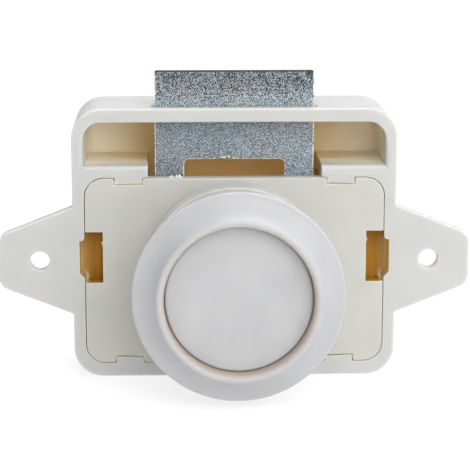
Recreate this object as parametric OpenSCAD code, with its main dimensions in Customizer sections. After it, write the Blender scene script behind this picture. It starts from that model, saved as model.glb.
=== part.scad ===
// Pushbutton lock for a cabinet door: a push on the button lifts the latch plate, a second push drops it.
// The lock lies behind the door (y > 0) and the rosette in front of it (y < 0). The latch points up, along z.
// The origin is midway between the two ear screws, on the face that lies against the door.

/* [Housing] */
// Width of the housing
body_w = 59; // [54:0.5:70]
// Height of the housing's top above the ear screws
body_top = 27.9; // [26.5:0.1:32]
// Depth of the housing's bottom below the ear screws
body_bottom = 21.8; // [21.4:0.1:28]
// Depth of the housing behind the door
body_d = 17.5; // [17.2:0.1:26]
// Radius of the housing's corners
body_r = 5.4; // [2.5:0.1:8]
// Thickness of the side walls
side_wall = 2.15; // [1.6:0.05:3]
// Thickness of the top wall
top_wall = 2.5; // [1.6:0.1:4]
// Thickness of the bottom wall
bottom_wall = 2.5; // [1.8:0.1:3.5]
// Thickness of the back wall
back_wall = 2.2; // [1.2:0.1:2.5]
// Thickness of the shelf between the top pocket and the cover
shelf_t = 2.15; // [1.2:0.05:3]
// Radius of the top pocket's corners
pocket_r = 3.2; // [1:0.1:4]
// Radius of the upright corners at the top pocket's back
pocket_back_r = 1.5; // [0.3:0.1:3]
// Width of the ledge that the cover rests on
ledge_w = 0.9; // [0.5:0.1:1.6]
// Gap in the shelf beside the latch
shelf_gap = 1.25; // [0.6:0.05:2.5]

/* [Ears] */
// Distance over both ear tips
ear_span = 86; // [80:0.5:110]
// Thickness of an ear
ear_t = 2.5; // [1.5:0.1:5]
// Height of an ear at the housing
ear_root_h = 20; // [12:0.5:26]
// Height of an ear at its tip
ear_tip_h = 9.4; // [7:0.1:14]
// Radius of the corners at an ear's tip
ear_tip_r = 2.6; // [0.5:0.1:3.4]
// Distance between the two screw holes
screw_spacing = 71; // [67:0.5:76]
// Diameter of a screw hole
screw_d = 3.5; // [2.5:0.1:5]

/* [Cover] */
// Height of the cover's top edge above the ear screws
cover_top = 15.2; // [15:0.1:16.2]
// Thickness of the cover
cover_t = 2.4; // [1.6:0.1:3]
// Gap round the cover
cover_gap = 0.15; // [0.05:0.05:0.3]
// Radius of the cover's corners
cover_r = 3.4; // [1.5:0.1:5]
// Distance from the middle to the near end of a tab
tab_from = 16.8; // [16.5:0.1:19]
// Length of a tab
tab_len = 4.9; // [2:0.1:5.5]
// How far a tab reaches over the cover
tab_reach = 1.1; // [0.5:0.1:1.6]
// Thickness of a tab
tab_t = 1.1; // [0.6:0.1:1.5]
// How far a tab's edge draws back towards its near end
tab_slant = 0.3; // [0:0.05:0.4]
// Gap at a tab's far end
tab_gap = 0.3; // [0.1:0.05:0.5]
// Height of the cut-out in each side of the cover
cutout_h = 9.4; // [4:0.1:14]
// Width of the cut-out in each side of the cover
cutout_w = 3.15; // [1.5:0.05:4]
// Height of the cut-outs' middle above the ear screws
cutout_z = 0.6; // [-3:0.1:4]
// Height of the notch beside each cut-out
notch_h = 7; // [3:0.1:9]
// How far the notch reaches into the housing's side wall
notch_w = 0.9; // [0.7:0.1:1.3]
// Depth of the notches, and of the blocks that close the cut-outs, behind the door
notch_d = 4.5; // [3.5:0.1:12]
// How far those blocks reach past the cut-outs' edges
block_over = 1.5; // [0.5:0.1:2.5]
// Radius of the edge above the notch
notch_r = 0.6; // [0.3:0.1:0.7]
// How far the notch's middle lies below the cut-out's middle
notch_drop = 0.4; // [0:0.1:1]

/* [Barrel] */
// Depth of the button's axis below the ear screws
axis_drop = 1.9; // [1.2:0.1:2.2]
// Thickness of the door
door_t = 20.3; // [14:0.1:30]
// Wall of the collar
collar_wall = 0.95; // [0.7:0.05:1.2]
// Length of the collar
collar_len = 6; // [3:0.5:9]
// Gap between the collar and the grip rings on the sleeve
collar_gap = 0.06; // [0.02:0.01:0.2]
// Height of the grip rings on the sleeve
grip_h = 0.25; // [0.1:0.05:0.4]
// Length of a grip ring
grip_len = 0.8; // [0.5:0.1:1.2]
// Number of grip rings
grip_count = 3; // [1:1:3]
// Wall of the rosette's sleeve
sleeve_wall = 2.2; // [1.6:0.05:2.6]
// Width of the rosette's ring, from its bore to its edge
ring_w = 5.5; // [4.8:0.05:7]
// Height of the rosette in front of the door
rosette_h = 4.8; // [4:0.1:7]
// Thickness of the rosette's rim
rim_t = 1.25; // [0.8:0.05:1.6]
// Bevel on the rim's edges
rim_bevel = 0.25; // [0.1:0.05:0.35]
// Radius of the rounded lip round the button
lip_r = 0.75; // [0.5:0.05:1.3]
// Radius of the rosette's hollow flare
flare_r = 5; // [4:0.1:7]

/* [Button] */
// Diameter of the knob
knob_d = 25.5; // [24:0.1:26]
// Gap between the knob and the rosette
knob_gap = 0.2; // [0.15:0.05:0.6]
// How far the knob's face lies below the rosette's lip when pushed in
knob_recess = 2.5; // [1:0.1:4]
// Radius of the edge of the knob's face
knob_edge_r = 0.4; // [0.2:0.1:1]
// Wall of the knob
knob_wall = 1.8; // [1.2:0.1:2.5]
// Length of the knob's skirt
skirt_len = 9.5; // [9:0.5:12]
// Diameter of the knob's stem
stem_d = 10; // [9.6:0.1:11.5]
// Thickness of the ribs inside the knob
knob_rib_t = 1.2; // [0.8:0.1:2]
// How far the ribs end above the skirt's edge
knob_rib_gap = 2; // [1:0.1:4]
// Travel of the button from pushed in to popped out
button_travel = 8; // [7:0.1:8.4]
// Extra travel inward that frees the catch
press_travel = 0.8; // [0.6:0.05:0.9]

/* [Latch] */
// Width of the latch plate
latch_w = 29; // [27:0.1:29.6]
// Thickness of the latch plate
latch_t = 1.4; // [1:0.1:1.8]
// How far the latch stands above the housing when shut
latch_reach = 6.5; // [5:0.1:6.6]
// How far the latch lies below the housing's top when open
latch_sink = 0.5; // [0.2:0.1:0.6]
// Width of the window in the latch plate
window_w = 18.2; // [17.8:0.1:19]
// Height of the window's top edge above the ear screws
window_top = 18.2; // [17.6:0.1:20]
// Radius of the window's corners
window_r = 0.9; // [0.3:0.1:1.5]
// Radius of the corners of the latch's tip
latch_tip_r = 0.5; // [0.2:0.1:2]
// Radius of the corners of the latch's lower end
latch_end_r = 0.5; // [0.2:0.1:1]
// Height of the tongues that ride in the plunger's grooves
tongue_h = 2; // [1.4:0.1:2.2]
// Gap between the latch and its guides
latch_gap = 0.3; // [0.15:0.05:0.4]
// Gap between the latch's sides and the ends of its slot in the top wall
slot_side = 0.65; // [0.3:0.05:1]
// Gap between the latch's back and its slot
slot_back = 1.5; // [0.3:0.1:2]
// Thickness of the ribs that guide the latch's sides
lane_wall = 1.4; // [1:0.1:2]
// Height of those ribs' top above the ear screws
lane_top = 12; // [11:0.1:13]
// Depth of the well in the bottom wall that the latch drops into
well_depth = 0.7; // [0.4:0.1:0.8]

/* [Plunger] */
// Width of the plunger
plunger_w = 16.6; // [16:0.1:16.8]
// Height of the plunger
plunger_h = 14.6; // [14:0.1:14.8]
// Length of the plunger
plunger_len = 14; // [13.7:0.1:14.2]
// Gap between the plunger and its tunnel
slide_gap = 0.3; // [0.15:0.05:0.35]
// Depth of the slanted grooves
groove_depth = 2.1; // [1.2:0.1:2.3]
// Gap between a tongue and its groove
groove_gap = 0.15; // [0.08:0.01:0.2]
// Height of the stop on top of the plunger
stop_h = 1.6; // [1:0.1:1.8]
// Width of the stop
stop_w = 8; // [4:0.5:12]
// Wall of the plunger's tunnel
tunnel_wall = 1.6; // [1:0.1:2]
// Depth of the heart track
track_depth = 1.6; // [1:0.1:1.8]
// Width of the heart track
track_w = 6.6; // [6:0.1:7]
// Length of the heart from the follower's rest to its tail
heart_len = 5.2; // [4.4:0.1:6]
// Length of the heart's straight sides
heart_side = 1.5; // [1:0.1:2]
// How far the heart's first lobe reaches past the follower
lobe_reach = 0.25; // [0.1:0.05:0.4]
// How much shorter the heart's second lobe is
lobe_step = 0.15; // [0.05:0.05:0.25]
// How far a lobe's shoulder lies behind its tip
lobe_fall = 0.75; // [0.4:0.05:1]
// Gap round the follower in the heart's notch
rest_gap = 0.12; // [0.05:0.01:0.2]
// How far the tunnel's floor stays back from the heart track
track_rim = 1; // [0.5:0.1:1.5]
// Gap between the follower and the walls of the track
track_gap = 0.35; // [0.2:0.05:0.4]
// Width of the two prongs that join the knob to the plunger
prong_w = 8; // [6:0.1:8.4]
// Height over both prongs
prong_h = 6; // [5:0.1:6.4]
// Length of the prongs
prong_len = 5; // [4.8:0.1:5.6]
// Slot between the prongs
prong_slot = 2; // [1.4:0.1:2.4]
// Height of a prong's barb
barb_h = 0.7; // [0.4:0.05:0.8]
// Length of a prong's barb
barb_len = 1.8; // [1.2:0.1:2]
// Thickness of the ledge that a barb snaps behind
snap_ledge = 2.5; // [2:0.1:2.8]
// Gap between the prongs and their socket
socket_gap = 0.1; // [0.05:0.01:0.15]

/* [Springs] */
// Outer diameter of the main spring
spring_d = 8.4; // [7.4:0.1:8.8]
// Wire of the main spring
spring_wire = 0.8; // [0.6:0.05:0.9]
// Turns of the main spring
spring_turns = 6.5; // [4.5:0.5:7]
// Closed turns at each end of the main spring
closed_turns = 0.75; // [0.5:0.05:1]
// Gap between closed turns
coil_gap = 0.05; // [0.02:0.01:0.1]
// Gap round the main spring in the plunger
bore_gap = 0.5; // [0.3:0.05:0.6]
// Wall between the main spring and the plunger's front
bore_floor = 6.8; // [6.4:0.1:7.2]
// Length of the boss inside the main spring
boss_len = 2.5; // [1.5:0.1:3.5]
// Gap between the boss and the main spring
boss_gap = 0.7; // [0.3:0.1:1]
// Wire of the catch spring
catch_wire = 0.8; // [0.6:0.05:0.9]
// Diameter of the post that carries the catch spring
post_d = 2.6; // [2:0.1:3]
// Gap between the catch spring and its post
post_gap = 0.15; // [0.1:0.01:0.25]
// Turns of the catch spring
catch_turns = 3; // [2:1:4]
// How far the catch spring's long leg lies below the plunger
leg_drop = 1.9; // [1.7:0.1:2.2]
// Radius of the bend before the catch spring's follower
bend_r = 1; // [0.8:0.1:1.2]
// Length of the catch spring's short leg
tail_len = 6; // [4:0.5:8]
// Gap between a spring and what it bears on
seat_gap = 0.05; // [0.02:0.01:0.1]

/* [Hidden] */
$fn = 96;
// Steps in a rounded corner, sides of a wire and rings in one turn of a spring
corner_steps = 8;
wire_sides = 8;
turn_rings = 18;
// How far a cut runs past the face that it opens
past = 1;
// How far a rib is sunk into the wall that carries it
root = 0.5;

// Inside of the housing
axis_z = -axis_drop;
floor_y = body_d - back_wall;
recess_x = body_w / 2 - side_wall;
recess_top = cover_top + cover_gap;
recess_bottom = bottom_wall - body_bottom;
cover_x = recess_x - cover_gap;
cover_bottom = recess_bottom + cover_gap;
shelf_top = recess_top + shelf_t;

// Latch: its front and back, its travel and the lane that it slides in
latch_y = cover_t + latch_gap;
latch_back = latch_y + latch_t;
latch_x = latch_w / 2;
latch_travel = latch_reach + latch_sink;
latch_ratio = latch_travel / button_travel;
lane_x = latch_x + latch_gap;
lane_bottom = recess_bottom - well_depth;
latch_bottom = lane_bottom + latch_travel + latch_gap;

// Plunger: its front is level with the cover's face when the button is pushed in
plunger_x = plunger_w / 2;
plunger_bottom = axis_z - plunger_h / 2;
plunger_top = axis_z + plunger_h / 2;
window_bottom = plunger_bottom - press_travel * latch_ratio - latch_gap;
slope = atan(latch_ratio);
tongue_y = latch_y + latch_t / 2;
tongue_z = axis_z + (button_travel - press_travel) * latch_ratio / 2;
tongue_tip_x = plunger_x - groove_depth + latch_gap;
groove_half = (latch_t * sin(slope) + tongue_h * cos(slope)) / 2 + groove_gap;
groove_end = button_travel / cos(slope) + (latch_t * cos(slope) + tongue_h * sin(slope)) / 2 + latch_gap;
tunnel_y = latch_back + latch_gap;
tunnel_x = plunger_x + slide_gap;
stop_y = cover_t + latch_gap + button_travel;

// Springs and their seats
bore_d = spring_d + 2 * bore_gap;
boss_d = spring_d - 2 * spring_wire - 2 * boss_gap;
follower_y = tunnel_y + catch_wire;
coil_r = post_d / 2 + post_gap + catch_wire / 2;
post_y = floor_y - seat_gap - catch_wire / 2 - coil_r;
leg_z = plunger_bottom - leg_drop;
leg_angle = acos(coil_r / (post_y - follower_y)) - 90;
coil_turn = 360 * catch_turns + leg_angle - 90;
coil_drop = (catch_wire + coil_gap) * coil_turn / 360;

// Snap between the stem and the plunger
socket_depth = prong_len + 2 * socket_gap;
barb_from = snap_ledge + socket_gap;

// Barrel: the sleeve goes round the knob, and the collar round the sleeve
bore_r = knob_d / 2 + knob_gap;
rim_r = bore_r + ring_w;
sleeve_r = bore_r + sleeve_wall;
barrel_in = sleeve_r + grip_h + collar_gap;
lip_top = door_t + rosette_h;
knob_face = lip_top - knob_recess;

ivory = "#e2e0d6";
white = "#dcdce0";
zinc = "#aeb4ba";
natural = "#c9c4b4";
steel = "#8d9196";

function unit(v) = v / norm(v);
function arc(c, r, a0, a1, n) = [for (i = [0:n]) let (a = a0 + (a1 - a0) * i / n) c + r * [cos(a), sin(a)]];
function short_turn(a) = a > 180 ? a - 360 : a < -180 ? a + 360 : a;
function angle_of(v) = atan2(v.y, v.x);

// The points of one corner, between its two neighbours, rounded by a radius
function corner(before, at, after, r) =
    let (u = unit(before - at), v = unit(after - at), half = acos(u * v) / 2)
    let (centre = at + unit(u + v) * r / sin(half), reach = r / tan(half))
    let (a0 = angle_of(at + u * reach - centre), a1 = angle_of(at + v * reach - centre))
    r == 0 ? [at] : arc(centre, r, a0, a0 + short_turn(a1 - a0), corner_steps);

// A closed outline with each corner rounded by its own radius
function rounded(points, radii) =
    let (n = len(points))
    [for (i = [0:n - 1]) each corner(points[(i + n - 1) % n], points[i], points[(i + 1) % n], radii[i])];

function rectangle(x0, z0, x1, z1) = [[x0, z0], [x1, z0], [x1, z1], [x0, z1]];
function mirrored(points, side) = [for (p = points) [side * p.x, p.y]];

// Extrudes an outline in the x-z plane from y0 to y1
module along_y(y0, y1) {
    translate([0, y1, 0]) rotate([90, 0, 0]) linear_extrude(y1 - y0) children();
}

// Turns an outline of radius and height in front of the door about the button's axis
module about_axis() {
    translate([0, 0, axis_z]) rotate([90, 0, 0]) rotate_extrude() children();
}

module box(x0, x1, y0, y1, z0, z1) {
    translate([x0, y0, z0]) cube([x1 - x0, y1 - y0, z1 - z0]);
}

// A round wire along a path of points
module wire(path, d, normal) {
    last = len(path) - 1;
    along = [for (i = [0:last]) unit(path[min(i + 1, last)] - path[max(i - 1, 0)])];
    side = [
        for (i = 0, n = normal - (normal * along[0]) * along[0]; i <= last;
            i = i + 1, n = i > last ? n : n - (n * along[i]) * along[i]) unit(n)
    ];
    points = [
        for (i = [0:last], k = [0:wire_sides - 1])
            let (a = 360 * k / wire_sides)
            path[i] + d / 2 * (cos(a) * side[i] + sin(a) * cross(along[i], side[i]))
    ];
    walls = [
        for (i = [0:last - 1], k = [0:wire_sides - 1])
            let (k2 = (k + 1) % wire_sides, low = i * wire_sides, high = low + wire_sides)
            [low + k2, low + k, high + k, high + k2]
    ];
    start = [for (k = [0:wire_sides - 1]) k];
    end = [for (k = [wire_sides - 1:-1:0]) last * wire_sides + k];
    polyhedron(points, concat([start], walls, [end]));
}

module body_outline() {
    x = body_w / 2;
    polygon(rounded(rectangle(-x, -body_bottom, x, body_top), [body_r, body_r, body_r, body_r]));
}

module ear(side) {
    tip = ear_span / 2;
    inner = body_w / 2 - side_wall / 2;
    run = (ear_root_h - ear_tip_h) / 2 / (tip - body_w / 2);
    half = ear_tip_h / 2;
    base = half + run * (tip - inner);
    outline = [[inner, -base], [tip, -half], [tip, half], [inner, base]];
    along_y(0, ear_t) polygon(mirrored(rounded(outline, [0, ear_tip_r, ear_tip_r, 0]), side));
}

// Everything hollow in the housing: the open pocket at the top, the cover's recess and the room behind it
module hollows() {
    x = recess_x;
    room_x = recess_x - ledge_w;
    gap_x = latch_x + shelf_gap;
    pocket_top = body_top - top_wall;
    intersection() {
        along_y(-past, floor_y)
            polygon(rounded(rectangle(-x, shelf_top, x, pocket_top), [0, 0, pocket_r, pocket_r]));
        translate([0, 0, shelf_top]) linear_extrude(pocket_top - shelf_top)
            polygon(rounded(rectangle(-x, -past, x, floor_y), [0, 0, pocket_back_r, pocket_back_r]));
    }
    box(-gap_x, gap_x, -past, floor_y, lane_top, shelf_top + past);
    r = cover_r + cover_gap;
    along_y(-past, cover_t) polygon(rounded(rectangle(-x, recess_bottom, x, recess_top), [r, r, r, r]));
    box(-room_x, room_x, cover_t - past, floor_y, recess_bottom + ledge_w, recess_top - ledge_w);
    box(-lane_x, lane_x, cover_t - past, tunnel_y, lane_bottom, lane_top + past);
    low = cutout_z - cutout_h / 2;
    for (side = [-1, 1]) mirror([side < 0 ? 1 : 0, 0, 0]) {
        along_y(-past, notch_d) polygon(notch_outline());
        box(room_x - past, recess_x, cover_t - past, notch_d, low, low + cutout_h);
    }
}

// Notch in the side wall beside the cover's cut-out: rounded off above, slanted below
function notch_outline() =
    let (high = cutout_z - notch_drop + notch_h / 2, low = high - notch_h, outer = recess_x + notch_w)
    concat(
        [[recess_x - past, low], [recess_x - past, high + notch_r]],
        arc([recess_x + notch_r, high + notch_r], notch_r, 180, 270, corner_steps),
        [[outer, high], [outer, low + notch_w], [recess_x, low]]
    );

// The tabs that hold the cover, two on the shelf and two on the bottom wall, each drawn back at its near end
module tabs() {
    far = tab_from + tab_len;
    high = cover_top - tab_reach;
    low = cover_bottom + tab_reach;
    roof = recess_top + root;
    base = recess_bottom - root;
    upper = [[tab_from, roof], [tab_from, high + tab_slant], [far, high], [far, roof]];
    lower = [[tab_from, base], [tab_from, low - tab_slant], [far, low], [far, base]];
    for (side = [-1, 1], outline = [upper, lower]) along_y(0, tab_t) polygon(mirrored(outline, side));
}

// Ribs beside the latch, the tunnel that the plunger slides in and the blocks that close the cover's cut-outs
module guides() {
    back = floor_y + root;
    outer = tunnel_x + tunnel_wall;
    low = plunger_bottom - slide_gap;
    high = plunger_top + stop_h + slide_gap;
    block_x = cover_x - cutout_w - block_over;
    block_half = cutout_h / 2 + block_over;
    for (side = [-1, 1]) mirror([side < 0 ? 1 : 0, 0, 0]) {
        box(lane_x, lane_x + lane_wall, cover_t, back, recess_bottom, lane_top);
        box(block_x, recess_x, notch_d, back, cutout_z - block_half, cutout_z + block_half);
        box(tunnel_x, outer, tunnel_y, back, low - tunnel_wall, high + tunnel_wall);
        box(track_w / 2 + track_rim, outer, tunnel_y, back, low - tunnel_wall, low);
        box(stop_w / 2 + slide_gap, outer, tunnel_y, back, plunger_top + slide_gap, high + tunnel_wall);
    }
    box(-outer, outer, tunnel_y, back, high, high + tunnel_wall);
}

// Boss inside the main spring, and the stepped post that carries the catch spring
module spring_seats() {
    translate([0, floor_y + root, axis_z]) rotate([90, 0, 0]) cylinder(d = boss_d, h = boss_len + root);
    shoulder = leg_z - coil_drop - catch_wire / 2 - seat_gap;
    foot = recess_bottom;
    translate([0, post_y, foot]) cylinder(d = post_d, h = leg_z + catch_wire - foot);
    translate([0, post_y, foot]) cylinder(r = coil_r + catch_wire, h = shoulder - foot);
}

module housing() {
    color(ivory) difference() {
        union() {
            difference() {
                union() {
                    along_y(0, body_d) body_outline();
                    ear(-1);
                    ear(1);
                }
                hollows();
            }
            tabs();
            guides();
            spring_seats();
        }
        for (side = [-1, 1])
            translate([side * screw_spacing / 2, -past, 0]) rotate([-90, 0, 0])
                cylinder(d = screw_d, h = ear_t + 2 * past);
        slot_x = latch_x + slot_side;
        slot_front = latch_y - latch_gap / 2;
        box(-slot_x, slot_x, slot_front, latch_back + slot_back, shelf_top + past, body_top + past);
    }
}

module cover_plate() {
    color(ivory) difference() {
        union() {
            along_y(0, cover_t)
                polygon(rounded(rectangle(-cover_x, cover_bottom, cover_x, cover_top),
                    [cover_r, cover_r, cover_r, cover_r]));
            about_axis() translate([barrel_in, -root]) square([collar_wall, collar_len + root]);
        }
        hole_low = plunger_bottom - slide_gap;
        hole_high = plunger_top + slide_gap;
        box(-tunnel_x, tunnel_x, -collar_len - past, cover_t + past, hole_low, hole_high);
        low = cutout_z - cutout_h / 2;
        reach = tab_reach + cover_gap;
        from = tab_from - cover_gap;
        to = tab_from + tab_len + tab_gap;
        for (side = [-1, 1]) mirror([side < 0 ? 1 : 0, 0, 0]) {
            box(cover_x - cutout_w, cover_x + past, -past, cover_t + past, low, low + cutout_h);
            box(from, to, -past, tab_t, cover_top - reach, cover_top + past);
            box(from, to, -past, tab_t, cover_bottom - past, cover_bottom + reach);
        }
    }
}

// Section of the rosette: sleeve with grip rings, rim, hollow flare and rounded lip
function rosette_section() =
    let (rim_top = door_t + rim_t, brim = [rim_r - rim_bevel, rim_top])
    let (lip = [bore_r + lip_r, lip_top - lip_r])
    let (flare = flare_centre(lip, brim), meet = angle_of(flare - lip), edge = angle_of(brim - flare))
    let (pitch = collar_len / (grip_count + 1))
    concat(
        [[bore_r, 0], [sleeve_r, 0]],
        [for (i = [1:grip_count]) each grip_ring(pitch * i)],
        [[sleeve_r, door_t], [rim_r - rim_bevel, door_t], [rim_r, door_t + rim_bevel]],
        [[rim_r, rim_top - rim_bevel]],
        arc(flare, flare_r, edge + 360, meet + 180, 2 * corner_steps),
        arc(lip, lip_r, meet, 180, 2 * corner_steps)
    );

// Centre of the flare's circle, which touches the lip's circle and ends on the rim's brim
function flare_centre(lip, brim) =
    let (across = norm(brim - lip), reach = flare_r + lip_r, u = unit(brim - lip))
    let (along = (reach * reach - flare_r * flare_r + across * across) / (2 * across))
    lip + along * u + sqrt(reach * reach - along * along) * [-u.y, u.x];

// One grip ring about a height on the sleeve, with its slope towards the sleeve's end
function grip_ring(z) =
    let (low = z - grip_len / 2, high = z + grip_len / 2, r = sleeve_r + grip_h)
    [[sleeve_r, low], [r, high - grip_h], [r, high], [sleeve_r, high]];

module rosette() {
    color(white) about_axis() polygon(rosette_section());
}

// Section of the knob: face with a rounded edge, skirt and stem
function knob_section() =
    let (r = knob_d / 2, stem = stem_d / 2, under = knob_face - knob_wall)
    concat(
        [[0, 0], [stem, 0], [stem, under], [r - knob_wall, under], [r - knob_wall, knob_face - skirt_len]],
        [[r, knob_face - skirt_len]],
        arc([r - knob_edge_r, knob_face - knob_edge_r], knob_edge_r, 0, 90, corner_steps),
        [[0, knob_face]]
    );

module knob() {
    rib_depth = skirt_len - knob_wall - knob_rib_gap;
    rib_r = knob_d / 2 - knob_wall / 2;
    low = knob_face - knob_wall - rib_depth;
    color(white) {
        difference() {
            union() {
                about_axis() polygon(knob_section());
                for (turn = [0:90:270])
                    translate([0, 0, axis_z]) rotate([90, turn, 0])
                        translate([stem_d / 4, -knob_rib_t / 2, low])
                            cube([rib_r - stem_d / 4, knob_rib_t, rib_depth + root]);
                box(-prong_w / 2, prong_w / 2, -root, prong_len, axis_z - prong_h / 2, axis_z + prong_h / 2);
                for (side = [-1, 1]) barb(side);
            }
            box(-prong_w, prong_w, root, prong_len + past, axis_z - prong_slot / 2, axis_z + prong_slot / 2);
        }
    }
}

// Wedge on a prong that snaps behind the plunger's ledge
module barb(side) {
    w = prong_w / 2;
    base = prong_h / 2;
    to = barb_from + barb_len;
    outline = [[barb_from, base - root], [barb_from, base + barb_h], [to, base], [to, base - root]];
    translate([-w / 2, 0, axis_z]) mirror([0, 0, side > 0 ? 0 : 1]) rotate([90, 0, 90])
        linear_extrude(w) polygon(outline);
}

module latch_plate() {
    top = body_top + latch_reach;
    radii = [latch_end_r, latch_end_r, latch_tip_r, latch_tip_r];
    color(zinc) along_y(latch_y, latch_back) difference() {
        polygon(rounded(rectangle(-latch_x, latch_bottom, latch_x, top), radii));
        polygon(window_outline(window_w / 2));
    }
}

// The window, with the two tongues that point inward from its sides
function window_outline(x) =
    let (tip = tongue_tip_x, low = tongue_z - tongue_h / 2, high = tongue_z + tongue_h / 2)
    rounded(
        [[-x, window_bottom], [x, window_bottom], [x, low], [tip, low], [tip, high], [x, high],
            [x, window_top], [-x, window_top], [-x, high], [-tip, high], [-tip, low], [-x, low]],
        [window_r, window_r, 0, 0, 0, 0, window_r, window_r, 0, 0, 0, 0]
    );

module plunger() {
    color(natural) difference() {
        union() {
            box(-plunger_x, plunger_x, 0, plunger_len, plunger_bottom, plunger_top);
            box(-stop_w / 2, stop_w / 2, stop_y, plunger_len, plunger_top - root, plunger_top + stop_h);
        }
        for (side = [-1, 1]) groove(side);
        translate([0, plunger_len + past, axis_z]) rotate([90, 0, 0])
            cylinder(d = bore_d, h = plunger_len + past - bore_floor);
        socket();
        heart_track();
    }
}

// Slanted groove that lifts the latch as the plunger goes in, open at the plunger's front
module groove(side) {
    lead = tongue_y / cos(slope) + 2 * groove_half;
    inner = plunger_x - groove_depth;
    mirror([side < 0 ? 1 : 0, 0, 0])
        translate([0, tongue_y, tongue_z]) rotate([-slope, 0, 0])
            box(inner, plunger_x + past, -lead, groove_end, -groove_half, groove_half);
}

// Socket for the stem's prongs, with the ledges that the barbs snap behind
module socket() {
    w = prong_w / 2 + socket_gap;
    h = prong_h / 2 + socket_gap;
    tip = prong_h / 2 + barb_h + socket_gap;
    box(-w, w, -past, socket_depth, axis_z - h, axis_z + h);
    box(-prong_w / 4 - socket_gap, prong_w / 4 + socket_gap, barb_from - socket_gap, socket_depth,
        axis_z - tip, axis_z + tip);
}

// Heart-shaped track in the plunger's underside: the follower rests in the notch of the island
module heart_track() {
    half = track_w / 2;
    front = follower_y - press_travel - catch_wire / 2 - track_gap;
    translate([0, 0, plunger_bottom - past]) linear_extrude(past + track_depth) difference() {
        polygon([[-half, front], [half, front], [half, plunger_len + past], [-half, plunger_len + past]]);
        polygon(heart_outline());
    }
}

// Island of the track: a notch between two lobes, straight sides and a pointed tail
function heart_outline() =
    let (notch = catch_wire / 2 + rest_gap, half = track_w / 2 - catch_wire - 2 * track_gap)
    let (y = follower_y, first = y - lobe_reach, second = first + lobe_step)
    let (shoulder = first + lobe_fall, shoulder2 = second + lobe_fall)
    [[-notch, y + notch], [-notch, first], [-half, shoulder], [-half, shoulder + heart_side],
        [0, y + heart_len],
        [half, shoulder2 + heart_side], [half, shoulder2], [notch, second], [notch, y + notch]];

module main_spring() {
    r = (spring_d - spring_wire) / 2;
    y0 = bore_floor + seat_gap + spring_wire / 2;
    y1 = floor_y - seat_gap - spring_wire / 2;
    closed = spring_wire + coil_gap;
    open_turns = spring_turns - 2 * closed_turns;
    open = (y1 - y0 - 2 * closed_turns * closed) / open_turns;
    function rise(t) = closed * (min(t, closed_turns) + max(t - closed_turns - open_turns, 0))
        + open * min(max(t - closed_turns, 0), open_turns);
    path = [
        for (i = [0:spring_turns * turn_rings])
            let (t = i / turn_rings) [r * cos(360 * t), y0 + rise(t), axis_z + r * sin(360 * t)]
    ];
    color(steel) wire(path, spring_wire, [1, 0, 0]);
}

// Coil on its post, a long leg to the heart track with an upturned end, and a short leg along the back wall
module catch_spring() {
    end_z = plunger_bottom + track_depth - track_gap;
    rings = catch_turns * turn_rings;
    bend = [
        for (a = [0:30:90])
            [0, follower_y + bend_r - bend_r * cos(a), leg_z + bend_r - bend_r * sin(a)]
    ];
    coil = [
        for (i = [0:rings])
            let (a = leg_angle - coil_turn * i / rings)
            [coil_r * cos(a), post_y + coil_r * sin(a), leg_z - coil_drop * i / rings]
    ];
    tail = coil[rings] + [tail_len, 0, 0];
    color(steel) wire(concat([[0, follower_y, end_z]], bend, coil, [tail]), catch_wire, [1, 0, 0]);
}

housing();
cover_plate();
rosette();
knob();
latch_plate();
plunger();
main_spring();
catch_spring();
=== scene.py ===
"""Looks of the pushbutton lock: finishes, fine edges, traces of making, light, floor and camera."""

import math

import bmesh
import bpy
from mathutils import Matrix, Vector


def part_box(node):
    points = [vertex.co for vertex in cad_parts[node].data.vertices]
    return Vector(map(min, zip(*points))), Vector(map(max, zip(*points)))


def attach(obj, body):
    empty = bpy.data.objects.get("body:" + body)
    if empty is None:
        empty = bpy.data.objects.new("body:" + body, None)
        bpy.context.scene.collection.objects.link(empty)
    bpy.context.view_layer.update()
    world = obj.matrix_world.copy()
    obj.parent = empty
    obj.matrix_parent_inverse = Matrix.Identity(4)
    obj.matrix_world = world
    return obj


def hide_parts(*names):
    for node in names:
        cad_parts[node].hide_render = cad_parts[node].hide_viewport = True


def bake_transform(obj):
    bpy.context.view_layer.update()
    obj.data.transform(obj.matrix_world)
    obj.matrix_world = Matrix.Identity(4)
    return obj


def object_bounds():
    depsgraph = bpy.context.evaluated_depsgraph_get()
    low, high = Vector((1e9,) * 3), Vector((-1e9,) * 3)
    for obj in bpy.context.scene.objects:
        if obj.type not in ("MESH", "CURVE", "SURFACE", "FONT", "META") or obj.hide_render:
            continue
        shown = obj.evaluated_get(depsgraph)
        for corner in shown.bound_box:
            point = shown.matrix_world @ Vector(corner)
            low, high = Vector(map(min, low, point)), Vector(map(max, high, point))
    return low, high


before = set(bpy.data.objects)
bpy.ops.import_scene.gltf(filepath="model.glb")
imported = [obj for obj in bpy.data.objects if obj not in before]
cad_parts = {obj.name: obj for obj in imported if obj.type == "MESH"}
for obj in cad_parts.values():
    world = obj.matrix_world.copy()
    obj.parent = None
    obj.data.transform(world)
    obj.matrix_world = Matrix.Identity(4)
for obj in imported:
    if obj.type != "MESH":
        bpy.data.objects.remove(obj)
CAD_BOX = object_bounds()
MM = 0.001

# Camera: the photo's viewpoint, in degrees and metres, with the lens and the sensor in millimetres
AZIMUTH = 2.017
ELEVATION = 11.92
ROLL = 0.065
DISTANCE = 0.3415
AIM = Vector((0.05 * MM, 0.0, 4.67 * MM))
LENS = 143.5
SENSOR = 36.0
CLIP_START = 0.01
CLIP_END = 60.0

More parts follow.
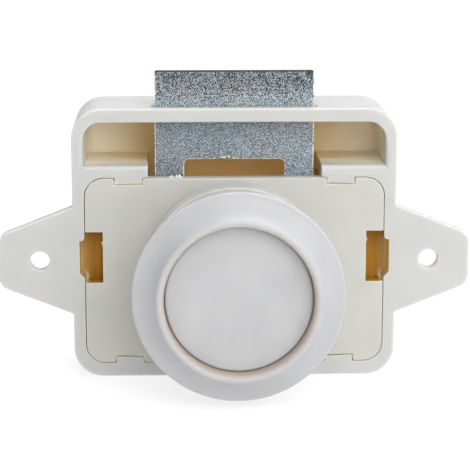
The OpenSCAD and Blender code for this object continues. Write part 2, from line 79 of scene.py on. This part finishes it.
# Places taken from the frame, in metres
CASE_LOW, CASE_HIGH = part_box("housing")
COVER_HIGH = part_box("cover_plate")[1]
SHEET_LOW, SHEET_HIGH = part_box("latch_plate")
KNOB_LOW, KNOB_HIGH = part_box("knob")
AXIS_Z = (KNOB_LOW.z + KNOB_HIGH.z) / 2
KNOB_RADIUS = KNOB_HIGH.x
COVER_SIDE = COVER_HIGH.x
COVER_TOP = COVER_HIGH.z
TIP = SHEET_HIGH.z

# Levels on the housing: top of the cover's seam, foot and widest part of the pocket's mouth, and its roof
SEAM_TOP = COVER_TOP + 0.3 * MM
MOUTH_FOOT = COVER_TOP + 2.2 * MM
MOUTH_WIDE = COVER_TOP + 5.3 * MM
POCKET_ROOF = CASE_HIGH.z - 2.5 * MM

# Cut-outs at the cover's sides: their inner edge and middle, and the room in and behind them
CUT_EDGE = COVER_SIDE - 3.15 * MM
CUT_MIDDLE = 0.6 * MM
CUT_NEAR = CUT_EDGE - 2.05 * MM
CUT_FAR = COVER_SIDE + 1.2 * MM
CUT_FRONT = 0.2 * MM
CUT_BACK = 4.6 * MM
CUT_LOW = CUT_MIDDLE - 6.3 * MM
CUT_HIGH = CUT_MIDDLE + 6.3 * MM

# Widths of the rounded edges
CASE_EDGE = 0.25 * MM
MOUTH_EDGE = 0.7 * MM
SEAM_EDGE = 0.07 * MM
COVER_EDGE = 0.08 * MM
SHEET_EDGE = 0.2 * MM

# Rounding: points this near are joined, edges this flat are dissolved, edges this sharp are rounded
WELD = 0.03 * MM
FLAT = math.radians(0.6)
SHARP = math.radians(32)

# Rounding: steps across an edge, weight of large faces in the shading, and how far off is still on the face
EDGE_STEPS = 3
FACE_WEIGHT = 100
ON_FACE = 0.02 * MM

# Room behind the latch, painted amber with a glow: limits between which its mask changes
ROOM_SIDE = (SHEET_HIGH.x - 1.5 * MM, SHEET_HIGH.x + 9.5 * MM)
ROOM_FRONT = (2.0 * MM, 9.0 * MM)
ROOM_BACK = (CASE_HIGH.y - 2.0 * MM, CASE_HIGH.y - 1.5 * MM)
ROOM_FOOT = (CASE_LOW.z + 1.8 * MM, CASE_LOW.z + 2.3 * MM)
ROOM_ROOF = (POCKET_ROOF, POCKET_ROOF + 0.2 * MM)

# Seam round the cover, bore of the rosette and skirt of the knob, with painted light, shade and glows: limits
# between which their masks change
SEAM_FRONT = (0.08 * MM, 0.3 * MM)
SEAM_BACK = (COVER_HIGH.y - 0.6 * MM, COVER_HIGH.y - 0.2 * MM)
SEAM_ROOF = (COVER_TOP - 0.7 * MM, COVER_TOP - 0.4 * MM)
BORE_LIP = (KNOB_RADIUS + 0.3 * MM, KNOB_RADIUS + 0.75 * MM)
KNOB_RIM = (KNOB_RADIUS - 0.2 * MM, KNOB_RADIUS)

# Painted light in the cut-outs: limits of its paler side, its pale lower corner and its glow
STRAW_SIDE = (COVER_SIDE - 0.8 * MM, COVER_SIDE + 1.0 * MM)
CORNER_SIDE = (COVER_SIDE - 0.6 * MM, COVER_SIDE)
CORNER_TOP = (CUT_MIDDLE - 4.6 * MM, CUT_MIDDLE - 3.0 * MM)
GLOW_SIDE = (COVER_SIDE + 0.5 * MM, COVER_SIDE + 1.0 * MM)

# Latch's sheet: limits of its crisp grain, its stains and its top edge's painted shade, and its window's top
CRISP = (TIP - 6.2 * MM, TIP - 4.2 * MM)
STAINED = (TIP - 3.4 * MM, TIP - 1.9 * MM)
DARK_TOP = (TIP - 0.45 * MM, TIP - 0.2 * MM)
WINDOW_TOP = TIP - 16.2 * MM

# Colours of the plastics on their faces
IVORY = (0.5, 0.5, 0.485)
CREAM = (0.5, 0.495, 0.46)
PALE = (0.64, 0.64, 0.62)
NATURAL = (0.6, 0.58, 0.5)
WHITE = (0.44, 0.44, 0.448)
# Painted light: the knob's white is a touch lighter than the rosette's, making up for the lip's shade on it
LIT_KNOB_WHITE = (0.45, 0.45, 0.455)

# Colours painted for light and shade on the plastics in hollows and inside the lock: warm bounce light, and
# brown shade
BEIGE = (0.9, 0.85, 0.7)
TAN = (0.84, 0.72, 0.5)
AMBER = (0.83, 0.64, 0.29)
BROWN = (0.38, 0.33, 0.28)

# Glows painted on the plastics for light that seeps through them, and how much the plastics bend light
CASE_SEEP = (0.02, 0.01, 0.001)
SEAM_SEEP = (0.09, 0.08, 0.058)
BORE_SEEP = (0.05, 0.042, 0.035)
SKIRT_SEEP = (0.06, 0.053, 0.045)
PLASTIC_IOR = 1.46

# Painted light in the cut-outs, golden: its streaks, its paler side, its lower corner and its glow
GOLD_DARK = (0.345, 0.16, 0.012)
GOLD_LIGHT = (0.44, 0.21, 0.018)
STRAW = (0.5, 0.35, 0.13)
CORNER_CREAM = (0.72, 0.64, 0.44)
GOLD_GLOW = (0.85, 0.5, 0.16, 1.0)

# Colours of the zinc: its crystals, their mean where the grain is soft, its tints and its stains
ZINC_DARK = (0.003, 0.004, 0.007)
ZINC_BRIGHT = (0.55, 0.6, 0.635)
ZINC_SOFT = (0.195, 0.228, 0.247)
ZINC_COOL = (1.84, 1.96, 2.0)
ZINC_WARM = (2.0, 1.92, 1.86)
ZINC_STAIN = (0.03, 0.032, 0.036)

# Colours of the sheet's edges (painted highlight, dark nicks, painted shade along the top), of the springs'
# wire and of the burr
EDGE_NICK = (0.14, 0.14, 0.12)
EDGE_BRIGHT = (0.86, 0.85, 0.78)
EDGE_DARK = (0.025, 0.027, 0.03)
WIRE_DARK = (0.33, 0.34, 0.36)
WIRE_LIGHT = (0.55, 0.57, 0.6)
BURR_DARK = (0.05, 0.045, 0.025)
BURR_LIGHT = (0.72, 0.66, 0.46)

# Painted bands of reflection and shade on the latch's sheet: millimetres below the tip, and brightness
PAINTED_BANDS = (
    (20.4, 1.0), (14.4, 1.1), (9.4, 0.8), (6.5, 1.35),
    (5.4, 1.1), (3.4, 0.78), (0.3, 0.7), (0.0, 0.3),
)

# Ridges: steps along one, and points across one
RIDGE_STEPS = 26
RIDGE_POINTS = 7

# Surround: strength and colour at the horizon and overhead, and lean to the right
SKY_LOW = 0.35
SKY_HIGH = 1.3
HORIZON = (1.0, 0.995, 0.985)
OVERHEAD = (0.97, 0.985, 1.03)
SKY_LEAN = 0.4

# Floor: colours of its paper, its glow and half its width
PAPER_DARK = (0.26, 0.26, 0.26)
PAPER_LIGHT = (0.28, 0.28, 0.28)
GLOW_WHITE = (1.0, 1.0, 1.0, 1.0)
FLOOR_GLOW = 0.72
FLOOR_HALF = 12.0

# Lamps: name, place, target, length of a side, and power in watts
LAMPS = (
    ("key_light", (0.155, -0.35, 0.175), (0.0, 0.0, 0.0), 0.42, 1.24),
    ("fill_light", (0.05, -0.9, 0.62), (0.0, 0.0, 0.0), 0.9, 2.2),
    ("top_light", (0.1, 0.3, 0.7), (0.0, 0.05, 0.0), 0.6, 2.2),
)

# Places of a mix node's factor and two colours among its inputs, and of its colour among its outputs
MIX_INPUTS = (0, 6, 7)
MIX_COLOUR = 2


def add_object(name, data):
    obj = bpy.data.objects.new(name, data)
    bpy.context.scene.collection.objects.link(obj)
    return obj


def camera():
    azimuth, elevation = math.radians(AZIMUTH), math.radians(ELEVATION)
    level = math.cos(elevation)
    forward = Vector((math.sin(azimuth) * level, math.cos(azimuth) * level, -math.sin(elevation)))
    data = bpy.data.cameras.new("camera")
    data.lens = LENS
    data.sensor_width = SENSOR
    data.clip_start = CLIP_START
    data.clip_end = CLIP_END
    obj = add_object("camera", data)
    turn = forward.to_track_quat("-Z", "Y").to_matrix().to_4x4()
    roll = Matrix.Rotation(math.radians(ROLL), 4, "Z")
    obj.matrix_world = Matrix.Translation(AIM - DISTANCE * forward) @ turn @ roll
    bpy.context.scene.camera = obj


class Nodes:
    """A node tree with short calls to add and link nodes."""

    def __init__(self, tree):
        self.tree = tree
        tree.nodes.clear()

    def add(self, kind, inputs=None, **settings):
        node = self.tree.nodes.new(kind)
        for name, value in settings.items():
            setattr(node, name, value)
        for name, value in (inputs or {}).items():
            socket = node.inputs[name]
            if isinstance(value, bpy.types.NodeSocket):
                self.tree.links.new(value, socket)
            else:
                socket.default_value = value
        return node

    def place(self):
        """The shaded point in its piece's own frame."""
        return self.add("ShaderNodeTexCoord").outputs["Object"]

    def spot(self):
        """The shaded point's X, Y and Z."""
        return self.add("ShaderNodeSeparateXYZ", {"Vector": self.place()}).outputs

    def aside(self):
        """The shaded point's distance from the lock's middle plane."""
        return self.add("ShaderNodeMath", {0: self.spot()["X"]}, operation="ABSOLUTE").outputs[0]

    def noise(self, scale, detail=3.0, rough=0.5, vector=None):
        inputs = {"Vector": vector or self.place(), "Scale": scale, "Detail": detail, "Roughness": rough}
        return self.add("ShaderNodeTexNoise", inputs).outputs["Fac"]

    def ramp(self, value, low, high, to_low=0.0, to_high=1.0):
        """Goes from to_low to to_high as the value goes from low to high."""
        inputs = {"Value": value, "From Min": low, "From Max": high, "To Min": to_low, "To Max": to_high}
        return self.add("ShaderNodeMapRange", inputs).outputs["Result"]

    def fall(self, value, low, high):
        """Goes from 1 to 0 as the value goes from low to high."""
        return self.ramp(value, low, high, 1.0, 0.0)

    def product(self, first, *others):
        result = first
        for value in others:
            result = self.add("ShaderNodeMath", {0: result, 1: value}, operation="MULTIPLY").outputs[0]
        return result

    def mix(self, factor, a, b, blend="MIX"):
        inputs = [factor]
        for colour in (a, b):
            inputs.append(colour if isinstance(colour, bpy.types.NodeSocket) else (*colour, 1.0))
        node = self.add("ShaderNodeMix", dict(zip(MIX_INPUTS, inputs)), data_type="RGBA", blend_type=blend)
        return node.outputs[MIX_COLOUR]

    def bands(self, value, stops):
        """A grey that passes through the stops, each a value from 0 to 1 and its tone."""
        node = self.add("ShaderNodeValToRGB", {"Fac": value})
        elements = node.color_ramp.elements
        for position, tone in stops[1:-1]:
            elements.new(position)
        for element, (position, tone) in zip(elements, stops):
            element.position = position
            element.color = (tone, tone, tone, 1.0)
        return node.outputs["Color"]

    def bump(self, height, strength, distance, normal=None):
        inputs = {"Height": height, "Strength": strength, "Distance": distance}
        if normal is not None:
            inputs["Normal"] = normal
        return self.add("ShaderNodeBump", inputs).outputs["Normal"]


def new_material(name):
    material = bpy.data.materials.new(name)
    material.use_nodes = True
    return material, Nodes(material.node_tree)


def finish_material(nodes, **inputs):
    named = {name.replace("_", " "): value for name, value in inputs.items()}
    shader = nodes.add("ShaderNodeBsdfPrincipled", named)
    nodes.add("ShaderNodeOutputMaterial", {"Surface": shader.outputs["BSDF"]})


def moulded(name, face, hollow, deep, reach, soak, cloud, roughness, inside=None, alone=False):
    """Moulded plastic that light soaks into: a little cloudy on its faces, with painted light and shade in
    hollows.

    inside gives a mask for the part of the surface that lies inside the lock, the colour painted there for
    its light and shade, and a glow painted there for the light that seeps through the plastic.
    """
    material, n = new_material(name)
    cloudy = n.ramp(n.noise(scale=160.0, detail=4.0), 0.38, 0.62)
    shade = tuple(channel * (1.0 - cloud) for channel in face)
    # Painted light and shade: the less open a spot, the more it takes the hollow colour, then the deep one
    nearby = n.add("ShaderNodeAmbientOcclusion", {"Distance": reach}, samples=16, only_local=alone)
    open_share = nearby.outputs["AO"]
    warm = n.mix(n.ramp(open_share, 0.02, 0.2), deep, hollow)
    colour = n.mix(n.ramp(open_share, 0.2, 0.55), warm, n.mix(cloudy, shade, face))
    seeping = {}
    # Painted colour and glow on the part of the surface inside the lock
    if inside:
        mask_of, inside_colour, seep = inside
        mask = mask_of(n)
        colour = n.mix(mask, colour, inside_colour)
        seeping = {"Emission_Color": (*seep, 1.0), "Emission_Strength": mask}
    grain = n.bump(n.noise(scale=2600.0, detail=2.0), strength=0.1, distance=0.03 * MM)
    skin = n.bump(n.noise(scale=190.0, detail=2.0), strength=0.08, distance=0.3 * MM, normal=grain)
    gloss = n.ramp(n.noise(scale=320.0), 0.3, 0.7, roughness - 0.05, roughness + 0.06)
    finish_material(
        n, Base_Color=colour, Roughness=gloss, Normal=skin, IOR=PLASTIC_IOR, Subsurface_Weight=1.0,
        Subsurface_Radius=(1.0, 0.85, 0.7), Subsurface_Scale=soak, **seeping,
    )
    return material


def behind_latch(n):
    """1 deep in the housing behind the latch, 0 towards the sides, the front and the outer faces."""
    spot = n.spot()
    return n.product(
        n.fall(n.aside(), *ROOM_SIDE),
        n.ramp(spot["Y"], *ROOM_FRONT),
        n.fall(spot["Y"], *ROOM_BACK),
        n.ramp(spot["Z"], *ROOM_FOOT),
        n.fall(spot["Z"], *ROOM_ROOF),
    )


def in_seam(n):
    """1 on the cover's sides, 0 on its face, its collar, its back and its top edge."""
    spot = n.spot()
    return n.product(
        n.ramp(spot["Y"], *SEAM_FRONT),
        n.fall(spot["Y"], *SEAM_BACK),
        n.fall(spot["Z"], *SEAM_ROOF),
    )


def from_axis(n):
    """Distance from the button's axis."""
    at = n.add("ShaderNodeVectorMath", {0: n.place(), 1: (0.0, 0.0, -AXIS_Z)}, operation="ADD").outputs[0]
    across = n.add("ShaderNodeVectorMath", {0: at, 1: (1.0, 0.0, 1.0)}, operation="MULTIPLY").outputs[0]
    return n.add("ShaderNodeVectorMath", {0: across}, operation="LENGTH").outputs["Value"]


def inside_bore(n):
    """1 on the wall of the rosette's bore, falling to 0 at the crest of its lip."""
    return n.fall(from_axis(n), *BORE_LIP)


def on_skirt(n):
    """1 on the knob's skirt, 0 on its face."""
    return n.ramp(from_axis(n), *KNOB_RIM)


def lit_through(name):
    """Painted light on the plastic deep in the cut-outs, for light coming through the walls: golden, with
    upright streaks.
    """
    material, n = new_material(name)
    drawn = n.add("ShaderNodeMapping", {"Vector": n.place(), "Scale": (1.0, 1.0, 0.05)}).outputs["Vector"]
    streak = n.ramp(n.noise(scale=1100.0, vector=drawn), 0.35, 0.65)
    aside = n.aside()
    # Painted light: golden streaks, paler towards the outer side and in the lower corner, with a glow there
    colour = n.mix(streak, GOLD_DARK, GOLD_LIGHT)
    colour = n.mix(n.ramp(aside, *STRAW_SIDE), colour, STRAW)
    corner = n.product(n.fall(n.spot()["Z"], *CORNER_TOP), n.ramp(aside, *CORNER_SIDE))
    colour = n.mix(corner, colour, CORNER_CREAM)
    seep = n.ramp(aside, *GLOW_SIDE, to_high=0.14)
    finish_material(
        n, Base_Color=colour, Roughness=n.ramp(streak, 0.0, 1.0, 0.5, 0.6), IOR=PLASTIC_IOR,
        Specular_IOR_Level=0.25, Emission_Color=GOLD_GLOW, Emission_Strength=seep,
    )
    return material


def zinc(name):
    """Zinc-plated sheet: bright and dark crystals, sharpest towards the tip, under painted bands of
    reflection and shade.

    The bands' tones are halved to stay under 1, and the tints are doubled to make up for it.
    """
    material, n = new_material(name)
    height = n.spot()["Z"]
    grain = n.ramp(n.noise(scale=9000.0, detail=2.0, rough=0.6), 0.33, 0.67)
    crystal = n.add("ShaderNodeTexVoronoi", {"Vector": n.place(), "Scale": 7600.0}, feature="F1")
    fleck = n.add("ShaderNodeSeparateColor", {"Color": crystal.outputs["Color"]}).outputs["Red"]
    speck = n.product(grain, n.ramp(fleck, 0.0, 1.0, 0.4, 1.35))
    strong = n.mix(n.ramp(speck, 0.32, 0.64), ZINC_DARK, ZINC_BRIGHT)
    crisp = n.ramp(height, *CRISP, 0.62, 1.1)
    colour = n.mix(crisp, ZINC_SOFT, strong)
    # Painted reflections and shade: bands of brightness down the sheet, brightest just above the housing's
    # top
    span = PAINTED_BANDS[0][0]
    stops = [(1.0 - drop / span, tone / 2) for drop, tone in PAINTED_BANDS]
    colour = n.mix(1.0, colour, n.bands(n.ramp(height, TIP - span * MM, TIP), stops), "MULTIPLY")
    tint = n.mix(n.ramp(n.noise(scale=110.0, detail=2.0), 0.4, 0.6), ZINC_COOL, ZINC_WARM)
    colour = n.mix(1.0, colour, tint, "MULTIPLY")
    stained = n.product(
        n.ramp(n.noise(scale=620.0, detail=4.0, rough=0.6), 0.56, 0.66),
        n.ramp(height, *STAINED, to_high=0.8),
    )
    colour = n.mix(stained, colour, ZINC_STAIN)
    rough = n.ramp(fleck, 0.0, 1.0, 0.36, 0.58)
    normal = n.bump(speck, strength=0.3, distance=0.04 * MM)
    finish_material(n, Base_Color=colour, Roughness=rough, Normal=normal, Metallic=1.0)
    return material


def highlit_edge(name):
    """Edge of the sheet: a painted highlight broken by small dark nicks, and painted shade along the top of
    the tip.
    """
    material, n = new_material(name)
    bright = n.ramp(n.noise(scale=2400.0, rough=0.6), 0.36, 0.56)
    edge_highlight = n.mix(bright, EDGE_NICK, EDGE_BRIGHT)
    # Painted shade along the top of the tip
    colour = n.mix(n.ramp(n.spot()["Z"], *DARK_TOP), edge_highlight, EDGE_DARK)
    finish_material(n, Base_Color=colour, Roughness=n.ramp(bright, 0.0, 1.0, 0.5, 0.34), Metallic=0.6)
    return material


def wire_steel(name):
    """Spring wire: grey steel with faint lighter and darker patches."""
    material, n = new_material(name)
    patch = n.ramp(n.noise(scale=1500.0), 0.3, 0.7)
    colour = n.mix(patch, WIRE_DARK, WIRE_LIGHT)
    finish_material(n, Base_Color=colour, Roughness=n.ramp(patch, 0.0, 1.0, 0.28, 0.42), Metallic=1.0)
    return material


def metal_burr(name):
    """Thin torn edge of metal, yellowed and dull."""
    material, n = new_material(name)
    patch = n.ramp(n.noise(scale=2400.0), 0.35, 0.65)
    colour = n.mix(patch, BURR_DARK, BURR_LIGHT)
    finish_material(n, Base_Color=colour, Roughness=n.ramp(patch, 0.0, 1.0, 0.6, 0.4), Metallic=0.7)
    return material


def copy_mesh(node, name):
    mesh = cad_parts[node].data.copy()
    mesh.name = name
    return mesh


def fine_edges(node, name, body, width_of):
    """A copy of a CAD node to stand for it, with each sharp edge rounded by the width that width_of gives."""
    mesh = copy_mesh(node, name)
    mesh.materials.clear()
    if "custom_normal" in mesh.attributes:
        mesh.attributes.remove(mesh.attributes["custom_normal"])
    work = bmesh.new()
    work.from_mesh(mesh)
    bmesh.ops.remove_doubles(work, verts=work.verts, dist=WELD)
    bmesh.ops.dissolve_limit(work, angle_limit=FLAT, verts=work.verts, edges=work.edges, delimit={"NORMAL"})
    bmesh.ops.triangulate(work, faces=work.faces)
    weight = work.edges.layers.float.new("bevel_weight_edge")
    sharp = [edge for edge in work.edges if edge.calc_face_angle(0.0) > SHARP]
    widest = max(width_of(edge) for edge in sharp)
    for edge in sharp:
        edge[weight] = width_of(edge) / widest
    work.to_mesh(mesh)
    work.free()
    for polygon in mesh.polygons:
        polygon.use_smooth = True
    obj = add_object(name, mesh)
    bevel = obj.modifiers.new("edges", "BEVEL")
    bevel.width = widest
    bevel.segments = EDGE_STEPS
    bevel.limit_method = "WEIGHT"
    bevel.use_clamp_overlap = False
    bevel.loop_slide = False
    even = obj.modifiers.new("even_faces", "WEIGHTED_NORMAL")
    even.weight = FACE_WEIGHT
    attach(obj, body)
    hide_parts(node)
    return obj


def housing_width(edge):
    """Widest at the foot of the top pocket's mouth, narrower towards its roof, and finest round the cover."""
    spots = [vert.co for vert in edge.verts]
    if any(abs(spot.y) > ON_FACE or abs(spot.x) > CUT_FAR for spot in spots):
        return CASE_EDGE
    low, high = sorted(spot.z for spot in spots)
    if low > MOUTH_FOOT:
        rise = ((low + high) / 2 - MOUTH_WIDE) / (POCKET_ROOF - MOUTH_WIDE)
        return MOUTH_EDGE - (MOUTH_EDGE - CASE_EDGE) * min(1.0, max(0.0, rise))
    return SEAM_EDGE if high < SEAM_TOP else CASE_EDGE


def stretching_coil(node, name):
    """A copy of a spring's CAD node to stand for it, with its place baked into its mesh."""
    obj = add_object(name, copy_mesh(node, name))
    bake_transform(obj)
    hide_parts(node)
    return obj


def lump(t, seed):
    """Size of a ridge at the share t of its length: two waves of unlike lengths, small at both ends."""
    waves = 0.6 + 0.25 * math.sin(seed + 9.0 * t) + 0.2 * math.sin(2.3 * seed + 23.0 * t)
    return waves * (0.1 + 0.9 * math.sin(math.pi * t) ** 0.5)


def ridge(name, body, start, end, across, out, seed):
    """A lumpy little ridge from start to end, such as a gate or a torn edge leaves behind."""
    start, end, across, out = (Vector(v) for v in (start, end, across, out))
    steps, sides = RIDGE_STEPS, RIDGE_POINTS
    points = []
    for i in range(steps + 1):
        t = i / steps
        for k in range(sides):
            angle = math.pi * k / (sides - 1)
            rough = lump(t, seed) * (1.0 + 0.2 * math.sin(7.0 * k + 41.0 * t + seed))
            lift = across * rough * math.cos(angle) + out * rough * math.sin(angle)
            points.append(start.lerp(end, t) + lift)
    faces = [tuple(range(sides)), tuple(steps * sides + k for k in reversed(range(sides)))]
    for i in range(steps):
        near, far = i * sides, (i + 1) * sides
        for k in range(sides):
            after = (k + 1) % sides
            faces.append((near + k, far + k, far + after, near + after))
    mesh = bpy.data.meshes.new(name)
    mesh.from_pydata(points, [], faces)
    work = bmesh.new()
    work.from_mesh(mesh)
    bmesh.ops.recalc_face_normals(work, faces=work.faces)
    work.to_mesh(mesh)
    work.free()
    obj = add_object(name, mesh)
    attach(obj, body)
    return obj


def dress(obj, material):
    obj.data.materials.clear()
    obj.data.materials.append(material)


def line_cut_outs(obj, material):
    """Gives a second material, their painted light, to the faces inside the cut-outs at the cover's sides."""
    obj.data.materials.append(material)
    for polygon in obj.data.polygons:
        x, y, z = polygon.center
        within = CUT_NEAR < abs(x) < CUT_FAR and CUT_FRONT < y < CUT_BACK and CUT_LOW < z < CUT_HIGH
        polygon.material_index = int(within)


def area_light(name, place, target, side, power):
    data = bpy.data.lights.new(name, "AREA")
    data.shape = "RECTANGLE"
    data.size = side
    data.size_y = side
    data.energy = power
    obj = add_object(name, data)
    obj.location = place
    obj.rotation_euler = (Vector(target) - Vector(place)).to_track_quat("-Z", "Y").to_euler()


def surround():
    """Soft light from all round, brighter above than at the horizon and on the right than on the left."""
    world = bpy.data.worlds.new("surround")
    bpy.context.scene.world = world
    world.use_nodes = True
    n = Nodes(world.node_tree)
    way = n.add("ShaderNodeSeparateXYZ", {"Vector": n.add("ShaderNodeTexCoord").outputs["Generated"]}).outputs
    up = n.ramp(way["Z"], 0.0, 1.0, SKY_LOW, SKY_HIGH)
    right = n.ramp(way["X"], -1.0, 1.0, 1.0 - SKY_LEAN, 1.0 + SKY_LEAN)
    colour = n.mix(n.ramp(way["Z"], 0.1, 0.8), HORIZON, OVERHEAD)
    sky = n.add("ShaderNodeBackground", {"Color": colour, "Strength": n.product(up, right)})
    n.add("ShaderNodeOutputWorld", {"Surface": sky.outputs["Background"]})


def paper(name):
    """Pale paper with a glow that keeps it white."""
    material, n = new_material(name)
    colour = n.mix(n.ramp(n.noise(scale=3.0), 0.3, 0.7), PAPER_DARK, PAPER_LIGHT)
    finish_material(
        n, Base_Color=colour, Roughness=0.9, Emission_Color=GLOW_WHITE, Emission_Strength=FLOOR_GLOW,
    )
    return material


def floor():
    """Level floor that the housing stands on."""
    low = CAD_BOX[0].z
    corners = [(x * FLOOR_HALF, y * FLOOR_HALF, low) for x, y in ((-1, -1), (1, -1), (1, 1), (-1, 1))]
    mesh = bpy.data.meshes.new("floor")
    mesh.from_pydata(corners, [], [(0, 1, 2, 3)])
    mesh.materials.append(paper("floor"))
    obj = add_object("floor", mesh)


def studio():
    bpy.context.scene.view_settings.view_transform = "Standard"
    surround()
    floor()
    for lamp in LAMPS:
        area_light(*lamp)


camera()
studio()

# Materials
# Housing: painted amber light and a glow behind the latch, painted light and shade in its hollows
ivory = moulded(
    "ivory_plastic", face=IVORY, hollow=BEIGE, deep=TAN, reach=14 * MM, soak=1.5 * MM, cloud=0.03,
    roughness=0.45, inside=(behind_latch, AMBER, CASE_SEEP), alone=True,
)
# Cover: painted light and a glow on the sides of its seam
ivory_cover = moulded(
    "cover_plastic", face=CREAM, hollow=BEIGE, deep=TAN, reach=4 * MM, soak=1.0 * MM, cloud=0.04,
    roughness=0.47, inside=(in_seam, BEIGE, SEAM_SEEP),
)
gate_white = moulded(
    "gate_plastic", face=PALE, hollow=BEIGE, deep=BEIGE, reach=0.5 * MM, soak=0.5 * MM, cloud=0.03,
    roughness=0.5,
)
# Rosette: painted brown shade with a glow on the wall of its bore
ring_white = moulded(
    "ring_plastic", face=WHITE, hollow=WHITE, deep=BROWN, reach=2 * MM, soak=0.6 * MM, cloud=0.04,
    roughness=0.4, inside=(inside_bore, BROWN, BORE_SEEP),
)
# Knob: a painted glow on its skirt
knob_white = moulded(
    "knob_plastic", face=LIT_KNOB_WHITE, hollow=WHITE, deep=BROWN, reach=2 * MM, soak=0.6 * MM, cloud=0.06,
    roughness=0.42, inside=(on_skirt, WHITE, SKIRT_SEEP),
)
natural = moulded(
    "natural_plastic", face=NATURAL, hollow=BEIGE, deep=TAN, reach=8 * MM, soak=1.5 * MM, cloud=0.05,
    roughness=0.45,
)
# Painted light for the faces deep in the cut-outs
golden = lit_through("cut_out_painted_light")
zinc_plate = zinc("zinc_plate")
burr_metal = metal_burr("burr_metal")
spring_wire = wire_steel("spring_wire")

# Housing
housing = fine_edges("housing", "housing_shell", "lock_case", housing_width)
dress(housing, ivory)
line_cut_outs(housing, golden)

# Cover
cover = fine_edges("cover_plate", "cover_shell", "lock_case", lambda edge: COVER_EDGE)
dress(cover, ivory_cover)
line_cut_outs(cover, golden)

# Latch, with a second material on its rounded edges: a painted highlight, and painted shade along the top
latch = fine_edges("latch_plate", "latch_sheet", "latch", lambda edge: SHEET_EDGE)
dress(latch, zinc_plate)
latch.data.materials.append(highlit_edge("highlit_zinc_edge"))
latch.modifiers["edges"].material = 1

# Pieces that keep their CAD meshes
for name, material, slot in (
    ("rosette", ring_white, "white_plastic"),
    ("knob", knob_white, "white_plastic"),
    ("plunger", natural, "natural_plastic"),
    ("catch_spring", spring_wire, "spring_steel"),
):
    dress(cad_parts[name], material)

# Main spring
coil = stretching_coil("main_spring", "main_coil")
dress(coil, spring_wire)

# Torn moulding mark on the cover's top edge
gate_level = COVER_TOP - 0.03 * MM
gate_left = Vector((-12.0 * MM, 0.6 * MM, gate_level))
gate_right = Vector((-9.4 * MM, 0.6 * MM, gate_level))
gate = ridge(
    "gate_mark", "lock_case", start=gate_left, end=gate_right,
    across=(0.0, 0.5 * MM, 0.0), out=(0.0, 0.0, 0.9 * MM), seed=1.0,
)
dress(gate, gate_white)

# Nibs on the cut-outs' inner edges
nib_depth = 0.5 * MM
for name, side, low, high, seed in (
    ("cutout_nib_left", -1, 2.5 * MM, 3.7 * MM, 2.0),
    ("cutout_nib_right", 1, 3.1 * MM, 4.4 * MM, 4.5),
):
    nib_aside = side * (CUT_EDGE - 0.01 * MM)
    nib = ridge(
        name, "lock_case", start=(nib_aside, nib_depth, low), end=(nib_aside, nib_depth, high),
        across=(0.0, 0.4 * MM, 0.0), out=(side * 0.28 * MM, 0.0, 0.0), seed=seed,
    )
    dress(nib, ivory_cover)

# Burr along the top of the latch's window
burr_depth = SHEET_LOW.y + 0.02 * MM
burr_left = Vector((-3.9 * MM, burr_depth, WINDOW_TOP + 0.3 * MM))
burr_right = Vector((1.0 * MM, burr_depth, WINDOW_TOP + 0.25 * MM))
burr = ridge(
    "window_burr", "latch", start=burr_left, end=burr_right,
    across=(0.0, 0.0, 0.36 * MM), out=(0.0, -0.2 * MM, 0.0), seed=3.0,
)
dress(burr, burr_metal)
